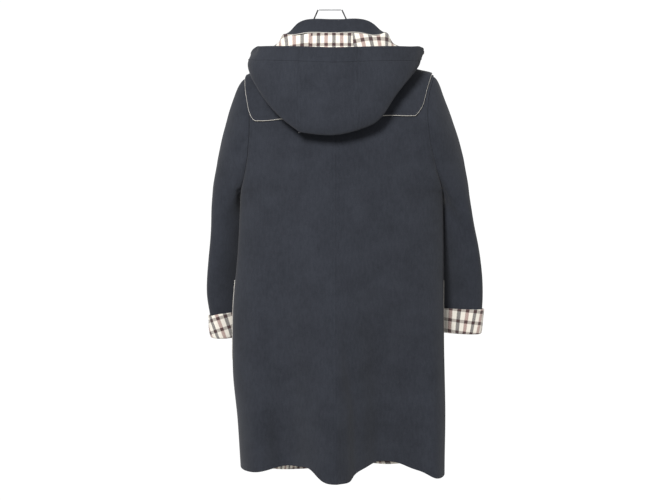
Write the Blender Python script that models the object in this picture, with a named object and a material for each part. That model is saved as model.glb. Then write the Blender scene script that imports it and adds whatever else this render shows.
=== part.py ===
"""A knee-length duffle coat of double-faced wool, hanging on a hanger with a wire head.

Metres, +Z up. The coat faces -Y, its left side is at +X, and the origin is the hanger's crossbar.
"""

import math

import bmesh
import bpy
from mathutils import Matrix, Vector

COLLECTION = "duffle_coat"

# Cloth and seams
WALL = 0.003
SEAM_GAP = 0.0003
LAYER_GAP = 0.0008

# The coat's main heights
UNDERARM = -0.405
SHOULDER_POINT = -0.155
NECK_POINT = -0.098
BACK_NECK = -0.036
FRONT_NECK = -0.172
POCKET_TOP = -0.596
POCKET_BOTTOM = -0.781
YOKE_EDGE = -0.250

# The neck's oval
NECK_HALF_WIDTH = 0.106
NECK_BACK_DEPTH = 0.046
NECK_FRONT_DEPTH = 0.068

# Half the width from armhole to armhole, the armhole's half-depths, and how far its middle cuts in
SHOULDER_HALF_WIDTH = 0.2015
UNDERARM_HALF_WIDTH = 0.2225
ARMHOLE_BACK = 0.055
ARMHOLE_FRONT = 0.052
ARMHOLE_CUT = 0.021

# The fronts overlap by this turn each side of the centre, the right one outermost
OVERLAP_TURN = 13.0
OVERLAP_LIFT = 0.0040

BODY_COLUMNS = ("height", "left", "right", "seam", "back", "front")
BODY_ROWS = (
    (-1.000, 0.199, -0.249, -0.013, 0.097, 0.088),
    (-0.900, 0.205, -0.251, -0.012, 0.095, 0.086),
    (-0.780, 0.217, -0.249, -0.012, 0.091, 0.083),
    (-0.660, 0.216, -0.248, -0.011, 0.087, 0.080),
    (-0.530, 0.205, -0.248, -0.011, 0.082, 0.077),
    (-0.405, 0.199, -0.246, -0.011, 0.078, 0.075),
    (-0.250, 0.191, -0.224, -0.010, 0.073, 0.073),
    (-0.155, 0.190, -0.222, -0.009, 0.064, 0.066),
    (-0.030, 0.190, -0.222, -0.009, 0.050, 0.060),
)

# The hem all round: 0 is the centre back, 90 the left side seam, 180 the centre front
HEM_COLUMNS = ("turn", "height", "out")
HEM_ROWS = (
    (-180.0, -1.024, 0.000),
    (-155.0, -1.014, -0.022),
    (-130.0, -1.018, 0.016),
    (-110.0, -1.016, 0.004),
    (-90.0, -1.015, 0.008),
    (-65.0, -1.013, 0.022),
    (-42.0, -0.986, -0.028),
    (-22.0, -0.981, -0.052),
    (-8.0, -1.001, 0.006),
    (4.0, -1.006, 0.029),
    (26.0, -0.984, -0.026),
    (52.0, -0.993, 0.022),
    (72.0, -0.998, 0.012),
    (90.0, -1.000, 0.000),
    (112.0, -1.012, 0.012),
    (135.0, -1.022, -0.018),
    (158.0, -1.038, 0.018),
    (180.0, -1.024, 0.000),
)
FLUTE_TOP = -0.44
BOW_START = -0.420
BOW_END = -0.270

BINDING_RADIUS = 0.0018

# The shoulder cape
YOKE_INSETS = {1: 0.0045, -1: 0.0105}
YOKE_TOP_INSET = 0.0050
YOKE_CORNER = 0.015
YOKE_CORNER_ROWS = (0.0, 0.10, 0.30, 0.65)
YOKE_KEPT_BACK = 55.0
YOKE_KEPT_FRONT = 126.0
YOKE_SIDE_STEPS = 4

# The patch pockets
POCKET_TURNS = (92.0, 152.0)
POCKET_ROWS = (0.0, 0.04, 0.12, 0.25, 0.5, 0.75, 1.0)
POCKET_GAP = 0.0015
POCKET_CORNER = 0.015
POCKET_HALF_WIDTH = 0.080

# The hood's two long seams, by turn, and how full its two layers hang
HOOD_SEAM_LEFT = 26.0
HOOD_SEAM_RIGHT = -17.0
HOOD_DEPTH = 0.200
HOOD_INNER_HIGH = 0.004
HOOD_INNER_LOW = 0.001
HOOD_OUTER_LOW = 0.012
HOOD_OUTER_HIGH = 0.010
HOOD_SPANS = (2, 2, 2, 3, 2, 2)
HOOD_SIDE_STEPS = 8
HOOD_CENTRE_STEPS = 4

# The rolled facing and the neck tape: body rows below the back's top edge, how far they lie
# outside of the back, and how far above it
FACING_WALL = 0.002
FACING_PROFILE = (
    (2.00, -0.0048, 0.0),
    (1.00, -0.0048, 0.0),
    (0.00, -0.0050, 0.0016),
    (0.00, -0.0024, 0.0042),
    (0.00, 0.0025, 0.0046),
    (0.00, 0.0056, 0.0024),
    (0.30, 0.0062, 0.0),
    (0.80, 0.0066, 0.0),
    (1.30, 0.0078, 0.0),
    (1.62, 0.0094, 0.0),
)
TAPE_WALL = 0.001
TAPE_PROFILE = ((1.46, 0.0112, 0.0), (1.66, 0.0128, 0.0), (1.86, 0.0148, 0.0))

# The closures: their heights, the patches on the right and left fronts, the cords and toggles
CLOSURE_HEIGHTS = (-0.310, -0.395, -0.480, -0.565)
CLOSURE_TURN = 170.0
RIGHT_PATCH = (-0.090, -0.050)
LEFT_PATCH = (0.074, 0.112)
PATCH_HALF_HEIGHT = 0.015
PATCH_GAP = 0.0010
PATCH_WALL = 0.0016
CORD_RADIUS = 0.00175
CORD_LIFT = 0.0026
TIE_LIFT = 0.0066
LOOP_HALF_HEIGHT = 0.0060
EDGE_MARGIN = 0.0030
TOGGLE_X = 0.045
TOGGLE_LIFT = 0.0152
TOGGLE_SIDES = 10
TOGGLE_PROFILE = ((-0.0225, 0.0038), (-0.018, 0.0055), (0.0, 0.0064), (0.018, 0.0055), (0.0225, 0.0038))

# The hanger: two sloping arms under the shoulders, and a wire head whose bar is the origin
HANGER_MIDDLE = -0.016
HANGER_REACH = 0.172
HANGER_BELOW_SEAM = 0.0056
HANGER_RISE = 0.012
HANGER_HALF_HEIGHT = 0.0095
HANGER_HALF_DEPTH = 0.0060
HANGER_SIDES = 10
HANGER_TAPER = 0.85
HANGER_STRIDE = 0.002
HANGER_STATIONS = 9
LEG_RADIUS = 0.0016
LEG_TOPS = {"left": 0.0286, "right": -0.0242}
LEG_SLOPE = 0.50
BAR_RADIUS = 0.0014

# How many steps the body's grid has upwards: hem, pocket, chest, lower armhole, yoke
ROW_STEPS = (6, 4, 5, 6, 5)
# and across: in the neck, from neck to side, and the same on the fronts
NECK_SHARES = (0.0, 0.22, 0.44, 0.64, 0.80, 0.92)
BACK_STEPS = 8
FRONT_STEPS = 8
FRONT_EDGE_STEPS = 2
OVERLAP_STEPS = 3

SLEEVE_COLUMNS = ("height", "outer_left", "outer_right", "y", "half_width", "half_depth", "twist")
SLEEVE_ROWS = (
    (-0.470, 0.2715, -0.3215, -0.048, 0.034, 0.068, 34.0),
    (-0.550, 0.2785, -0.3340, -0.052, 0.033, 0.065, 38.0),
    (-0.620, 0.2815, -0.3415, -0.062, 0.031, 0.062, 44.0),
    (-0.665, 0.2775, -0.3400, -0.068, 0.030, 0.060, 47.0),
    (-0.715, 0.2700, -0.3375, -0.072, 0.029, 0.059, 47.0),
)
CAP_STEPS = 7
SLEEVE_STEPS = 6
CUFF_STEPS = 3
SLEEVE_END = -0.712
CUFF_TOP = -0.660

HOOD_COLUMNS = tuple(["around"] + [part + axis for part in ("seam_", "fold_", "edge_") for axis in "xyz"])
HOOD_ROWS = (
    (-160, -0.0500, -0.0810, -0.1570, -0.062, -0.096, -0.164, -0.064, -0.103, -0.158),
    (-138, -0.0890, -0.0630, -0.1370, -0.128, -0.076, -0.140, -0.136, -0.086, -0.130),
    (-114, -0.1200, -0.0330, -0.1080, -0.182, -0.022, -0.125, -0.192, -0.030, -0.118),
    (-90, -0.1340, 0.0150, -0.0935, -0.190, 0.044, -0.130, -0.200, 0.040, -0.108),
    (-70, -0.1213, 0.0445, -0.0975, -0.158, 0.088, -0.174, -0.190, 0.072, -0.102),
    (-48, -0.0930, 0.0575, -0.0745, -0.114, 0.102, -0.230, -0.138, 0.102, -0.108),
    (-25, -0.0610, 0.0645, -0.0705, -0.070, 0.108, -0.270, -0.075, 0.120, -0.114),
    (0, -0.0090, 0.0678, -0.0710, -0.007, 0.110, -0.296, -0.009, 0.128, -0.118),
    (25, 0.0400, 0.0645, -0.0705, 0.060, 0.108, -0.289, 0.061, 0.120, -0.114),
    (48, 0.0720, 0.0575, -0.0745, 0.112, 0.102, -0.248, 0.122, 0.102, -0.108),
    (70, 0.1003, 0.0445, -0.0975, 0.152, 0.088, -0.190, 0.168, 0.072, -0.102),
    (90, 0.1110, 0.0150, -0.0970, 0.177, 0.044, -0.136, 0.184, 0.040, -0.108),
    (114, 0.0990, -0.0330, -0.1080, 0.160, -0.022, -0.130, 0.168, -0.030, -0.118),
    (138, 0.0680, -0.0630, -0.1370, 0.112, -0.076, -0.140, 0.120, -0.086, -0.130),
    (160, 0.0290, -0.0810, -0.1570, 0.046, -0.096, -0.164, 0.048, -0.103, -0.158),
)

# Helpers


def column(rows, columns, name):
    return [row[columns.index(name)] for row in rows]


def smooth(edge0, edge1, value):
    share = min(max((value - edge0) / (edge1 - edge0), 0.0), 1.0)
    return share * share * (3 - 2 * share)


def lerp(start, end, share):
    return start + (end - start) * share


def cubic(keys, values, at):
    """A smooth curve through the table's rows, read at one key. It doesn't overshoot."""
    sign = 1 if keys[-1] > keys[0] else -1
    at = min(max(at * sign, keys[0] * sign), keys[-1] * sign)
    spot = 0
    while spot < len(keys) - 2 and keys[spot + 1] * sign < at:
        spot += 1
    slopes = [(b - a) / (y - x) for a, b, x, y in zip(values, values[1:], keys, keys[1:])]

    def tangent(row):
        if row == 0 or row == len(keys) - 1:
            return slopes[0 if row == 0 else -1]
        before, after = slopes[row - 1], slopes[row]
        return 0.0 if before * after <= 0 else 2 * before * after / (before + after)

    span = keys[spot + 1] - keys[spot]
    share = (at * sign - keys[spot]) / span
    square, cube = share * share, share**3
    return (
        values[spot] * (2 * cube - 3 * square + 1)
        + tangent(spot) * span * (cube - 2 * square + share)
        + values[spot + 1] * (3 * square - 2 * cube)
        + tangent(spot + 1) * span * (cube - square)
    )


def body_at(name, height):
    rows = BODY_ROWS
    return cubic(column(rows, BODY_COLUMNS, "height"), column(rows, BODY_COLUMNS, name), height)


def hem_at(name, turn):
    rows = HEM_ROWS
    turn = (turn + 180.0) % 360.0 - 180.0
    return cubic(column(rows, HEM_COLUMNS, "turn"), column(rows, HEM_COLUMNS, name), turn)


# The body's surface

ROW_ENDS = [sum(ROW_STEPS[: count + 1]) for count in range(len(ROW_STEPS))]
LAST_ROW = ROW_ENDS[-1]
ARMHOLE_ROW = ROW_ENDS[2]
YOKE_ROW = ROW_ENDS[3]
ARMHOLE_MIDDLE = (UNDERARM + SHOULDER_POINT) / 2
ARMHOLE_REACH = (SHOULDER_POINT - UNDERARM) / 2
YOKE_TURN = math.acos((YOKE_EDGE - ARMHOLE_MIDDLE) / ARMHOLE_REACH)


def armhole_angle(row):
    """The armhole's angle beside a body row: half a turn at the underarm, 0 at the shoulder."""
    if row <= YOKE_ROW:
        return lerp(math.pi, YOKE_TURN, (row - ARMHOLE_ROW) / (YOKE_ROW - ARMHOLE_ROW))
    return lerp(YOKE_TURN, 0.0, (row - YOKE_ROW) / (LAST_ROW - YOKE_ROW))


def armhole(side, angle, front=False):
    """A point on the armhole's line. side is 1 on the coat's left and -1 on its right."""
    height = ARMHOLE_MIDDLE + ARMHOLE_REACH * math.cos(angle)
    width = lerp(SHOULDER_HALF_WIDTH, UNDERARM_HALF_WIDTH, (1 - math.cos(angle)) / 2)
    width -= ARMHOLE_CUT * math.sin(angle) ** 2
    depth = -ARMHOLE_FRONT if front else ARMHOLE_BACK
    middle = (body_at("left", height) + body_at("right", height)) / 2
    return Vector((middle + side * width, depth * math.sin(angle), height))


def top_height(share, front):
    """The height of the body's top edge: the neck's oval, then the shoulder seam."""
    neck_share = NECK_HALF_WIDTH / SHOULDER_HALF_WIDTH
    if share >= neck_share:
        return lerp(NECK_POINT, SHOULDER_POINT, (share - neck_share) / (1 - neck_share))
    inside = share / neck_share
    if front:
        return lerp(FRONT_NECK, NECK_POINT, 1 - math.sqrt(1 - inside**2) ** 1.2)
    return lerp(BACK_NECK, NECK_POINT, inside**8)


def top_depth(share, front):
    neck_share = NECK_HALF_WIDTH / SHOULDER_HALF_WIDTH
    if share >= neck_share:
        return 0.0
    return math.sqrt(1 - (share / neck_share) ** 2) * (NECK_FRONT_DEPTH if front else NECK_BACK_DEPTH)


def row_height(turn, row, front):
    """How high a body row lies at a turn."""
    radians = math.radians(turn)
    if row <= ROW_ENDS[0]:
        return lerp(hem_at("height", turn), POCKET_BOTTOM, row / ROW_ENDS[0])
    if row <= ROW_ENDS[1]:
        return lerp(POCKET_BOTTOM, POCKET_TOP, (row - ROW_ENDS[0]) / ROW_STEPS[1])
    if row <= ROW_ENDS[2]:
        return lerp(POCKET_TOP, UNDERARM, (row - ROW_ENDS[1]) / ROW_STEPS[2])
    side_height = ARMHOLE_MIDDLE + ARMHOLE_REACH * math.cos(armhole_angle(row))
    if row <= YOKE_ROW:
        return side_height
    share = (side_height - YOKE_EDGE) / (SHOULDER_POINT - YOKE_EDGE)
    return lerp(YOKE_EDGE, top_height(abs(math.sin(radians)), front), share)


def bow_power(height):
    """How flat a panel lies across: 1 is an ellipse, 2 a lens with sharper sides."""
    return lerp(1.0, 2.0, smooth(BOW_START, BOW_END, height))


def body(turn, row, front):
    """A point of the coat's outer surface. turn runs round from the centre back, in degrees.

    front says which sheet is meant above the underarm, where the armhole parts the two.
    """
    radians = math.radians(turn)
    across, facing = math.sin(radians), math.cos(radians)
    side = 1 if across >= 0 else -1
    if row <= ARMHOLE_ROW:
        front = facing < 0
    height = row_height(turn, row, front)
    middle = (body_at("left", height) + body_at("right", height)) / 2
    depth = body_at("front" if front else "back", height)
    if row <= ARMHOLE_ROW:
        half = (body_at("left", height) - body_at("right", height)) / 2
        y = depth * math.copysign(abs(facing) ** bow_power(height), facing)
    else:
        edge = armhole(side, armhole_angle(row), front)
        edge_depth = abs(edge.y)
        half = abs(edge.x - (body_at("left", edge.z) + body_at("right", edge.z)) / 2)
        bow = abs(facing) ** bow_power(edge.z)
        over = smooth(YOKE_ROW, LAST_ROW, row) ** 1.5
        shoulder = top_depth(abs(across), front) + edge_depth * abs(across) ** 3
        y = lerp(edge_depth + (depth - edge_depth) * bow, shoulder, over)
        y *= -1 if front else 1
    x = middle + half * across
    lean = smooth(YOKE_ROW, LAST_ROW, row) if front else 1.0
    x += (body_at("seam", height) - middle) * facing**2 * lean
    fade = max(0.0, (FLUTE_TOP - height) / (FLUTE_TOP - hem_at("height", turn))) ** 1.6
    y += hem_at("out", turn) * fade * (-1 if front else 1)
    return Vector((x, y, height))


def body_normal(turn, row, front):
    """The outward direction at a point of the body's surface."""
    before, after = turn - 2.0, turn + 2.0
    if row > ARMHOLE_ROW:
        lowest, highest = -90.0, 90.0
        if front:
            lowest, highest = (90.0, 270.0) if turn > 0 else (-270.0, -90.0)
        before, after = max(before, lowest), min(after, highest)
    upper, lower = min(row + 0.25, LAST_ROW), max(row - 0.25, 0.0)
    if row <= ARMHOLE_ROW:
        upper = min(upper, ARMHOLE_ROW)
    along = body(after, row, front) - body(before, row, front)
    up = body(turn, upper, front) - body(turn, lower, front)
    return -along.cross(up).normalized()


# Meshes


def material(name, colour, roughness, metallic=0.0):
    made = bpy.data.materials.new(name)
    made.use_nodes = True
    shader = made.node_tree.nodes["Principled BSDF"]
    shader.inputs["Base Color"].default_value = (*colour, 1.0)
    shader.inputs["Roughness"].default_value = roughness
    shader.inputs["Metallic"].default_value = metallic
    made.diffuse_color = (*colour, 1.0)
    return made


def keep(name, mesh, finish):
    """Puts a finished mesh into the scene as the node of that name."""
    mesh.name = name
    mesh.materials.append(finish)
    made = bpy.data.objects.new(name, mesh)
    bpy.data.collections[COLLECTION].objects.link(made)
    return made


def cloth(name, finish, outer, inner, ring=False):
    """A wall of cloth between two grids of points. ring joins each row's end to its start."""
    rows, columns = len(outer), len(outer[0])
    across = columns + 1 if ring else columns
    mesh_work = bmesh.new()
    bmesh.ops.create_grid(mesh_work, x_segments=across - 1, y_segments=rows - 1, size=1.0)

    def spot(vertex):
        step = round((vertex.co.x + 1) / 2 * (across - 1))
        return step % columns, round((vertex.co.y + 1) / 2 * (rows - 1))

    if ring:
        firsts = {spot(v): v for v in mesh_work.verts if v.co.x < -1 + 1 / across}
        ends = [v for v in mesh_work.verts if v.co.x > 1 - 1 / across]
        bmesh.ops.weld_verts(mesh_work, targetmap={v: firsts[spot(v)] for v in ends})
    faces = mesh_work.faces[:]
    pushed = bmesh.ops.extrude_face_region(mesh_work, geom=faces, use_keep_orig=True)["geom"]
    inside = {item for item in pushed if isinstance(item, bmesh.types.BMVert)}
    for vertex in mesh_work.verts:
        step, row = spot(vertex)
        vertex.co = (inner if vertex in inside else outer)[row][step]
    bmesh.ops.triangulate(mesh_work, faces=mesh_work.faces, quad_method="SHORT_EDGE")
    bmesh.ops.recalc_face_normals(mesh_work, faces=mesh_work.faces)
    if mesh_work.calc_volume(signed=True) < 0:
        bmesh.ops.reverse_faces(mesh_work, faces=mesh_work.faces)
    mesh = bpy.data.meshes.new(name)
    mesh_work.to_mesh(mesh)
    mesh_work.free()
    mesh.shade_smooth()
    return keep(name, mesh, finish)


def layer(name, finish, points, normals, outside, thickness=WALL):
    """A wall of cloth on a grid of points: its outer face lies outside of them by that much."""
    outer = [[p + n * outside for p, n in zip(*pair)] for pair in zip(points, normals)]
    depth = outside - thickness
    inner = [[p + n * depth for p, n in zip(*pair)] for pair in zip(points, normals)]
    return cloth(name, finish, outer, inner)


def cord(name, finish, points, radius, closed=False, sides=2):
    """A round cord along points, with its ends capped."""
    curve = bpy.data.curves.new(name, "CURVE")
    curve.dimensions = "3D"
    curve.bevel_depth = radius
    curve.bevel_resolution = sides
    curve.use_fill_caps = True
    spline = curve.splines.new("POLY")
    spline.points.add(len(points) - 1)
    for place, point in zip(spline.points, points):
        place.co = (*point, 1.0)
    spline.use_cyclic_u = closed
    curve.materials.append(finish)
    made = bpy.data.objects.new(name, curve)
    bpy.data.collections[COLLECTION].objects.link(made)
    return made


# The panels' grids

NECK_TURN = math.degrees(math.asin(NECK_HALF_WIDTH / SHOULDER_HALF_WIDTH))


def steps(start, end, count):
    return [lerp(start, end, step / count) for step in range(count)]


BACK_TURNS = [share * NECK_TURN for share in NECK_SHARES] + steps(NECK_TURN, 90.0, BACK_STEPS) + [90.0]
FRONT_TURNS = (
    steps(90.0, 180.0 - NECK_TURN, FRONT_STEPS)
    + steps(180.0 - NECK_TURN, 180.0 - OVERLAP_TURN, FRONT_EDGE_STEPS)
    + steps(180.0 - OVERLAP_TURN, 180.0 + OVERLAP_TURN, OVERLAP_STEPS)
    + [180.0 + OVERLAP_TURN]
)
RING_HALF = LAST_ROW - ARMHOLE_ROW


def ring_spot(step):
    """The armhole angle, its place round the sleeve, and which sheet it borders, at a ring step."""
    if step <= RING_HALF:
        angle = armhole_angle(LAST_ROW - step)
        return angle, angle, False
    angle = armhole_angle(ARMHOLE_ROW + step - RING_HALF)
    return angle, 2 * math.pi - angle, True


def sleeve_ring(side, around, height):
    """A point on the hanging sleeve's outer surface. around is 0 outwards and a quarter turn at the back."""
    heights = column(SLEEVE_ROWS, SLEEVE_COLUMNS, "height")

    def read(name):
        return cubic(heights, column(SLEEVE_ROWS, SLEEVE_COLUMNS, name), height)

    half_width, half_depth, twist = read("half_width"), read("half_depth"), math.radians(read("twist"))
    reach = math.hypot(half_width * math.cos(twist), half_depth * math.sin(twist))
    centre = side * read("outer_left" if side > 0 else "outer_right") - reach
    out, back = half_width * math.cos(around), half_depth * math.sin(around)
    x = centre + out * math.cos(twist) + back * math.sin(twist)
    return Vector((side * x, read("y") - out * math.sin(twist) + back * math.cos(twist), height))


def sleeve_cap(side, step, share):
    """The sleeve's head: from the armhole, outwards and over, down to the first hanging ring."""
    angle, around, front = ring_spot(step)
    start = armhole(side, angle, front)
    end = sleeve_ring(side, around, SLEEVE_ROWS[0][0])
    upper = (1 + math.cos(angle)) / 2
    leave = Vector((side * 0.89, 0, -0.45)) * lerp(0.016, 0.052, upper)
    arrive = Vector((0, 0, (start - end).length * lerp(0.30, 0.42, upper)))
    rest = 1 - share
    return (
        start * rest**3
        + (start + leave) * 3 * rest**2 * share
        + (end + arrive) * 3 * rest * share**2
        + end * share**3
    )


def sleeve_grid(side):
    """Rows of points round the sleeve, from the armhole to its end."""
    ring = range(2 * RING_HALF)
    rows = [[sleeve_cap(side, step, row / CAP_STEPS) for step in ring] for row in range(CAP_STEPS)]
    for height in steps(SLEEVE_ROWS[0][0], SLEEVE_END, SLEEVE_STEPS) + [SLEEVE_END]:
        rows.append([sleeve_ring(side, ring_spot(step)[1], height) for step in ring])
    return rows


def grid_normals(rows, ring=False, facing=None):
    """The direction square to a grid at each point; facing picks its side."""
    count, across = len(rows), len(rows[0])
    found = []
    for row in range(count):
        line = []
        for step in range(across):
            after = (step + 1) % across if ring else min(step + 1, across - 1)
            before = (step - 1) % across if ring else max(step - 1, 0)
            along = rows[row][after] - rows[row][before]
            down = rows[min(row + 1, count - 1)][step] - rows[max(row - 1, 0)][step]
            line.append(along.cross(down).normalized() * facing)
        found.append(line)
    return found


def seam_directions(side):
    """The wall's direction at each step of the armhole seam, shared by the sleeve and the body."""
    sleeve = grid_normals(sleeve_grid(side)[:2], ring=True, facing=-side)[0]
    shared = []
    for step, own in enumerate(sleeve):
        front = step > RING_HALF
        row = LAST_ROW - step if not front else ARMHOLE_ROW + step - RING_HALF
        turn = side * 90.0
        beside = body_normal(turn, row, front)
        if step in (0, RING_HALF):
            beside = beside + body_normal(turn, row, True)
        shared.append((own + beside.normalized()).normalized())
    return shared


def seam_shifts(side):
    """How far the sleeve's edge stands off the body's at each step of the armhole seam."""
    first, second = sleeve_grid(side)[:2]
    shifts = []
    for step, direction in enumerate(SEAM_DIRECTIONS[side]):
        along = first[(step + 1) % len(first)] - first[step - 1]
        away = along.cross(direction).normalized()
        if away.dot(second[step] - first[step]) < 0:
            away = -away
        shifts.append(away * SEAM_GAP)
    return shifts


def panel_direction(turn, row, front):
    """The wall's direction at a grid point of the body, with its seams' own directions at their edges."""
    side = 1 if turn > 0 else -1
    if abs(abs(turn) - 90.0) < 0.01 and row >= ARMHOLE_ROW:
        step = LAST_ROW - row if not front else RING_HALF + row - ARMHOLE_ROW
        return SEAM_DIRECTIONS[side][step % (2 * RING_HALF)]
    own = body_normal(turn, row, front)
    back_turn = turn if not front else side * (180.0 - abs(turn))
    if row == LAST_ROW and NECK_TURN - 0.01 <= abs(back_turn) <= 90.0:
        other = body_normal(side * (180.0 - abs(turn)), row, not front)
        return (own + other).normalized()
    return own


def panel(side, front, outermost=0.0):
    """The outer points and wall directions of one panel, hem to top, seam to side."""
    turns = [side * turn for turn in (FRONT_TURNS if front else BACK_TURNS)]
    points, directions = [], []
    for row in range(LAST_ROW + 1):
        line, ways = [], []
        for turn in turns:
            way = panel_direction(turn, row, front)
            point = body(turn, row, front)
            if front:
                start = 180.0 - OVERLAP_TURN
                point = point + way * outermost * smooth(start - 14.0, start, abs(turn))
            if not front and turn == 0:
                point.x += side * SEAM_GAP / 2
            shoulder = row == LAST_ROW and NECK_TURN - 0.01 <= abs(turn if not front else 180 - abs(turn))
            if abs(turn) == 90.0 and row <= ARMHOLE_ROW or shoulder:
                point.y += SEAM_GAP / 2 * (-1 if front else 1)
            line.append(point)
            ways.append(way)
        points.append(line)
        directions.append(ways)
    return turns, points, directions


class Panel:
    """A panel's grid, read between its points as its flat faces lie."""

    def __init__(self, side, front, outermost=0.0):
        self.turns, self.points, self.directions = panel(side, front, outermost)
        self.side = side

    def spot(self, turn, row):
        column_at = 0
        while column_at < len(self.turns) - 2 and abs(self.turns[column_at + 1]) <= abs(turn):
            column_at += 1
        row_at = min(int(row), len(self.points) - 2)
        span = self.turns[column_at + 1] - self.turns[column_at]
        return column_at, row_at, (turn - self.turns[column_at]) / span, row - row_at

    def at(self, turn, row, lift=0.0):
        """The point lift outside of the panel's face at a turn and row."""
        column_at, row_at, along, up = self.spot(turn, row)

        def read(grid):
            low = grid[row_at][column_at].lerp(grid[row_at][column_at + 1], along)
            high = grid[row_at + 1][column_at].lerp(grid[row_at + 1][column_at + 1], along)
            return low.lerp(high, up)

        return read(self.points) + read(self.directions).normalized() * lift

    def row_of(self, turn, height):
        low, high = 0.0, float(LAST_ROW)
        for _ in range(30):
            middle = (low + high) / 2
            if self.at(turn, middle).z < height:
                low = middle
            else:
                high = middle
        return low

    def turn_of(self, x, row):
        """The turn at which a row passes x, looking outwards from the centre of the front or back."""
        ends = sorted((self.turns[0], self.turns[-1]), key=lambda turn: self.at(turn, row).x)
        for _ in range(30):
            middle = (ends[0] + ends[1]) / 2
            ends[0 if self.at(middle, row).x < x else 1] = middle
        return ends[0]


SEAM_DIRECTIONS = {}
SEAM_DIRECTIONS[1] = seam_directions(1)
SEAM_DIRECTIONS[-1] = seam_directions(-1)
SIDES = {"left": 1, "right": -1}


# The body and sleeves


def build_body(wool):
    panels = {}
    for name, side in SIDES.items():
        back = Panel(side, front=False)
        front = Panel(side, front=True, outermost=OVERLAP_LIFT if side < 0 else 0.0)
        layer("back_" + name, wool, back.points, back.directions, 0.0)
        layer("front_" + name, wool, front.points, front.directions, 0.0)
        panels["back", side], panels["front", side] = back, front
    return panels


def build_sleeve(name, side, wool):
    points = sleeve_grid(side)
    normals = grid_normals(points, ring=True, facing=-side)
    normals[0] = SEAM_DIRECTIONS[side]
    points[0] = [point + shift for point, shift in zip(points[0], seam_shifts(side))]
    inner = [[p - n * WALL for p, n in zip(*pair)] for pair in zip(points, normals)]
    cloth("sleeve_" + name, wool, points, inner, ring=True)


def build_cuff(name, side, check):
    """The sleeve's end turned back: up outside the sleeve, and curled in under its edge."""
    ring = [ring_spot(step)[1] for step in range(2 * RING_HALF)]
    clear = LAYER_GAP + WALL
    profile = [(clear, height) for height in steps(CUFF_TOP, SLEEVE_END, CUFF_STEPS)]
    profile += [(clear, SLEEVE_END), (clear * 0.6, SLEEVE_END - 0.0030), (0.0, SLEEVE_END - 0.0042)]
    profile += [(-WALL, SLEEVE_END - 0.0042)]
    widen = 0.0015
    outer, inner = [], []
    for place, (out, height) in enumerate(profile):
        on_sleeve = max(height, SLEEVE_END)
        points = [[sleeve_ring(side, around, on_sleeve + shift) for around in ring] for shift in (0.001, 0.0)]
        normals = grid_normals(points, ring=True, facing=-side)[0]
        flare = widen * smooth(SLEEVE_END, CUFF_TOP, height)
        curled = place >= CUFF_STEPS
        turn_in = (place - CUFF_STEPS) / 2 * math.pi / 2 if curled else 0.0
        turn_in = min(turn_in, math.pi / 2)
        outer_line, inner_line = [], []
        for around, normal in zip(ring, normals):
            base = sleeve_ring(side, around, on_sleeve)
            base.z = height
            middle = base + normal * (out + flare - WALL / 2)
            across = normal * math.cos(turn_in) - Vector((0, 0, 1)) * math.sin(turn_in)
            outer_line.append(middle + across * WALL / 2)
            inner_line.append(middle - across * WALL / 2)
        outer.append(outer_line)
        inner.append(inner_line)
    cloth("cuff_" + name, check, outer, inner, ring=True)


# What lies on the panels


def corner_inset(along, radius):
    """How far a rounded corner cuts in, at a distance from the edge it runs into."""
    if along >= radius:
        return 0.0
    return radius - math.sqrt(radius**2 - (radius - along) ** 2)



def patch(panel_under, edges, rows):
    """Points and directions of a flat piece on a panel. edges gives its turns and rows across."""
    points, directions = [], []
    for row in rows:
        spots = [panel_under.at(turn, at_row) for turn, at_row in edges(row)]
        lifted = [panel_under.at(turn, at_row, 1.0) for turn, at_row in edges(row)]
        points.append(spots)
        directions.append([up - point for up, point in zip(lifted, spots)])
    return points, directions


def rim(grid, sides):
    """The points along a grid's edge, in order: start, first row, end, last row, as sides asks."""
    runs = {
        "start": [row[0] for row in grid],
        "first": grid[0],
        "end": [row[-1] for row in grid],
        "last": grid[-1],
    }
    path = []
    for side, backwards in sides:
        run = runs[side][::-1] if backwards else runs[side]
        path += run[1:] if path else run
    return path


def binding(name, finish, points, directions, sides, gap=LAYER_GAP, closed=False, start=0):
    """The light binding: a cord that runs just outside a piece's edge, level with its cloth."""
    path, lifts = rim(points, sides), rim(directions, sides)
    path, lifts = path[start:], lifts[start:]
    if closed:
        path, lifts = path[:-1], lifts[:-1]
    middle = sum((point for row in points for point in row), Vector()) / (len(points) * len(points[0]))
    moved = []
    for spot, (point, lift) in enumerate(zip(path, lifts)):
        after = path[(spot + 1) % len(path)] if closed else path[min(spot + 1, len(path) - 1)]
        before = path[spot - 1] if closed else path[max(spot - 1, 0)]
        outs = [edge.cross(lift).normalized() for edge in (after - point, point - before) if edge.length]
        outs = [out if out.dot(point - middle) > 0 else -out for out in outs]
        out = (outs[0] + outs[-1]).normalized()
        away = (BINDING_RADIUS + SEAM_GAP) / max(out.dot(outs[0]), 0.6)
        moved.append(point + out * away + lift * (gap + WALL / 2))
    if not closed:
        for end, inward in ((0, 1), (-1, -2)):
            back_from_seam = (moved[inward] - moved[end]).normalized() * (BINDING_RADIUS + SEAM_GAP)
            moved[end] = moved[end] + back_from_seam
    cord(name, finish, moved, BINDING_RADIUS, closed, sides=1)


def yoke_rows():
    lowest = [YOKE_ROW + share for share in YOKE_CORNER_ROWS]
    return lowest + list(range(YOKE_ROW + 1, LAST_ROW + 1))


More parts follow.
